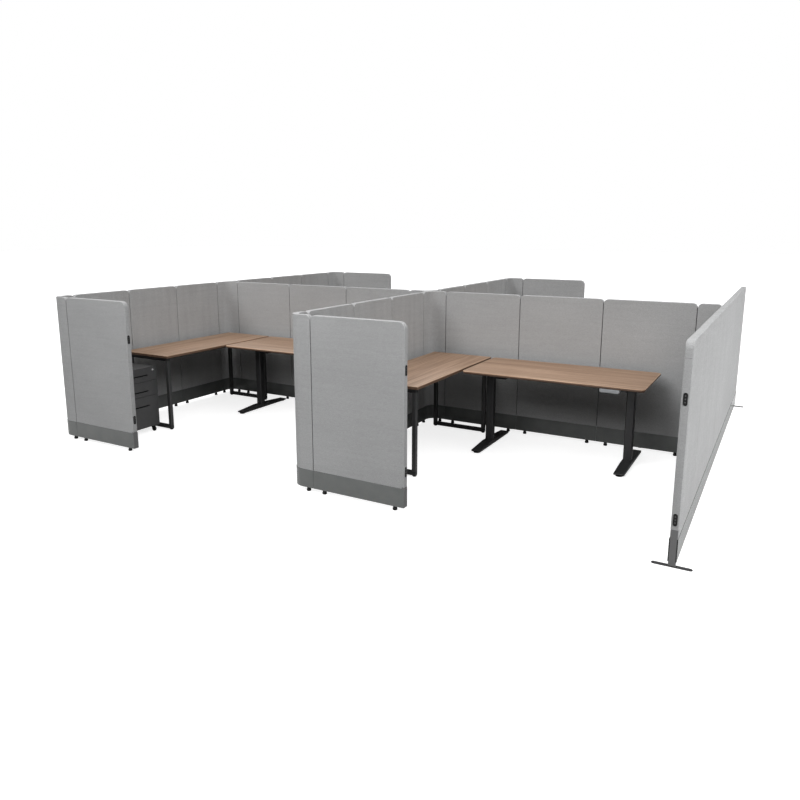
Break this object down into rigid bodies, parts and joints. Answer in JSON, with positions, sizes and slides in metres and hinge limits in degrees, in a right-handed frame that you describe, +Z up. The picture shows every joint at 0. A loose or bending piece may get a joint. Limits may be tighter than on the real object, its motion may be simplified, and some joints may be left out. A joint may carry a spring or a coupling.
{
  "type": "cubicle workstation",
  "caption": "Cross-plan cubicle cluster of fabric panel walls with base raceways, L-shaped pairs of fixed and height-adjustable desks, and a mobile drawer pedestal.",
  "frame": {"origin": "on the floor under the middle of the cluster's bounding box; the spine wall lies along Y = 0", "axes": "+X along the spine wall from the cornered left wall to the long right wall, +Y from the front row of stations to the back row, +Z up"},
  "size_m": [5.5974, 4.599, 1.346],
  "materials": {
    "panel_fabric": "light grey woven panel cloth, matte",
    "base_cover": "satin grey-green powder coat",
    "end_trim": "matte grey-brown moulding",
    "steel": "plain rolled steel",
    "black_plastic": "matte black",
    "dark_metal": "satin charcoal powder coat",
    "wood_top": "light walnut laminate with a darker edge band",
    "pedestal_metal": "fine-textured charcoal powder coat",
    "lock_metal": "polished",
    "handset_shell": "matte silver-grey",
    "wheel_tread": "matte black"
  },
  "bodies": {
    "root": {"base_corner_covers": "base_cover", "base_covers": "base_cover", "base_end_caps": "end_trim", "connector_strips": "black_plastic", "corner_panels": "panel_fabric", "corner_posts": "steel", "desk_columns": "dark_metal", "desk_feet": "dark_metal", "end_clips": "black_plastic", "junction_panels": "panel_fabric", "left_wall_panels": "panel_fabric", "levelling_feet": "black_plastic", "middle_wall_panels": "panel_fabric", "panel_frames": "steel", "raceway_troughs": "steel", "return_leg_bars": "dark_metal", "return_leg_posts": "dark_metal", "return_rails": "dark_metal", "return_tops": "wood_top", "right_wall_panels": "panel_fabric", "spine_panels": "panel_fabric", "wall_foot_bars": "dark_metal", "wing_panels": "panel_fabric"},
    "desk_front_left": {"desk_top_front_left": "wood_top", "lift_frame_front_left": "dark_metal", "inner_columns_front_left": "dark_metal", "handset_front_left": "handset_shell"},
    "rocker_front_left": {"handset_rocker_front_left": "black_plastic"},
    "desk_front_right": {"desk_top_front_right": "wood_top", "lift_frame_front_right": "dark_metal", "inner_columns_front_right": "dark_metal", "handset_front_right": "handset_shell"},
    "rocker_front_right": {"handset_rocker_front_right": "black_plastic"},
    "desk_back_left": {"desk_top_back_left": "wood_top", "lift_frame_back_left": "dark_metal", "inner_columns_back_left": "dark_metal", "handset_back_left": "handset_shell"},
    "rocker_back_left": {"handset_rocker_back_left": "black_plastic"},
    "desk_back_right": {"desk_top_back_right": "wood_top", "lift_frame_back_right": "dark_metal", "inner_columns_back_right": "dark_metal", "handset_back_right": "handset_shell"},
    "rocker_back_right": {"handset_rocker_back_right": "black_plastic"},
    "pedestal": {"pedestal_case": "pedestal_metal", "drawer_slides": "steel"},
    "drawer_top": {"drawer_front_top": "pedestal_metal", "drawer_box_top": "pedestal_metal"},
    "drawer_middle": {"drawer_front_middle": "pedestal_metal", "drawer_box_middle": "pedestal_metal"},
    "drawer_bottom": {"drawer_front_bottom": "pedestal_metal", "drawer_box_bottom": "pedestal_metal"},
    "lock": {"lock_barrel": "lock_metal"},
    "caster_1": {"caster_fork_1": "black_plastic"},
    "wheel_1": {"caster_wheel_1": "wheel_tread"},
    "caster_2": {"caster_fork_2": "black_plastic"},
    "wheel_2": {"caster_wheel_2": "wheel_tread"},
    "caster_3": {"caster_fork_3": "black_plastic"},
    "wheel_3": {"caster_wheel_3": "wheel_tread"},
    "caster_4": {"caster_fork_4": "black_plastic"},
    "wheel_4": {"caster_wheel_4": "wheel_tread"}
  },
  "joints": [
    {"name": "lift_front_left", "type": "slide", "parent": "root", "child": "desk_front_left", "axis": [0, 0, 1], "range_m": [-0.035, 0.455]},
    {"name": "rocker_tilt_front_left", "type": "hinge", "parent": "desk_front_left", "child": "rocker_front_left", "pos_m": [-0.75825, -0.893, 0.713], "axis": [1, 0, 0], "range_deg": [-4, 4], "stiffness_Nm_per_rad": 0.2},
    {"name": "lift_front_right", "type": "slide", "parent": "root", "child": "desk_front_right", "axis": [0, 0, 1], "range_m": [-0.035, 0.455]},
    {"name": "rocker_tilt_front_right", "type": "hinge", "parent": "desk_front_right", "child": "rocker_front_right", "pos_m": [1.98175, -0.893, 0.713], "axis": [1, 0, 0], "range_deg": [-4, 4], "stiffness_Nm_per_rad": 0.2},
    {"name": "lift_back_left", "type": "slide", "parent": "root", "child": "desk_back_left", "axis": [0, 0, 1], "range_m": [-0.035, 0.455]},
    {"name": "rocker_tilt_back_left", "type": "hinge", "parent": "desk_back_left", "child": "rocker_back_left", "pos_m": [-0.75825, 0.893, 0.713], "axis": [1, 0, 0], "range_deg": [-4, 4], "stiffness_Nm_per_rad": 0.2},
    {"name": "lift_back_right", "type": "slide", "parent": "root", "child": "desk_back_right", "axis": [0, 0, 1], "range_m": [-0.035, 0.455]},
    {"name": "rocker_tilt_back_right", "type": "hinge", "parent": "desk_back_right", "child": "rocker_back_right", "pos_m": [1.98175, 0.893, 0.713], "axis": [1, 0, 0], "range_deg": [-4, 4], "stiffness_Nm_per_rad": 0.2},
    {"name": "pedestal_roll", "type": "slide", "parent": "root", "child": "pedestal", "axis": [1, 0, 0], "range_m": [0, 0.5]},
    {"name": "drawer_slide_top", "type": "slide", "parent": "pedestal", "child": "drawer_top", "axis": [1, 0, 0], "range_m": [0, 0.4]},
    {"name": "drawer_slide_middle", "type": "slide", "parent": "pedestal", "child": "drawer_middle", "axis": [1, 0, 0], "range_m": [0, 0.4]},
    {"name": "drawer_slide_bottom", "type": "slide", "parent": "pedestal", "child": "drawer_bottom", "axis": [1, 0, 0], "range_m": [0, 0.4]},
    {"name": "lock_turn", "type": "hinge", "parent": "drawer_top", "child": "lock", "pos_m": [-2.19325, -1.704, 0.616], "axis": [1, 0, 0], "range_deg": [0, 90]},
    {"name": "caster_swivel_1", "type": "hinge", "parent": "pedestal", "child": "caster_1", "pos_m": [-2.64725, -1.996, 0.055], "axis": [0, 0, 1], "continuous": true},
    {"name": "wheel_roll_1", "type": "hinge", "parent": "caster_1", "child": "wheel_1", "pos_m": [-2.62525, -1.996, 0.025], "axis": [0, 1, 0], "continuous": true},
    {"name": "caster_swivel_2", "type": "hinge", "parent": "pedestal", "child": "caster_2", "pos_m": [-2.64725, -1.72, 0.055], "axis": [0, 0, 1], "continuous": true},
    {"name": "wheel_roll_2", "type": "hinge", "parent": "caster_2", "child": "wheel_2", "pos_m": [-2.62525, -1.72, 0.025], "axis": [0, 1, 0], "continuous": true},
    {"name": "caster_swivel_3", "type": "hinge", "parent": "pedestal", "child": "caster_3", "pos_m": [-2.22925, -1.996, 0.055], "axis": [0, 0, 1], "continuous": true},
    {"name": "wheel_roll_3", "type": "hinge", "parent": "caster_3", "child": "wheel_3", "pos_m": [-2.20725, -1.996, 0.025], "axis": [0, 1, 0], "continuous": true},
    {"name": "caster_swivel_4", "type": "hinge", "parent": "pedestal", "child": "caster_4", "pos_m": [-2.22925, -1.72, 0.055], "axis": [0, 0, 1], "continuous": true},
    {"name": "wheel_roll_4", "type": "hinge", "parent": "caster_4", "child": "wheel_4", "pos_m": [-2.20725, -1.72, 0.025], "axis": [0, 1, 0], "continuous": true}
  ]
}
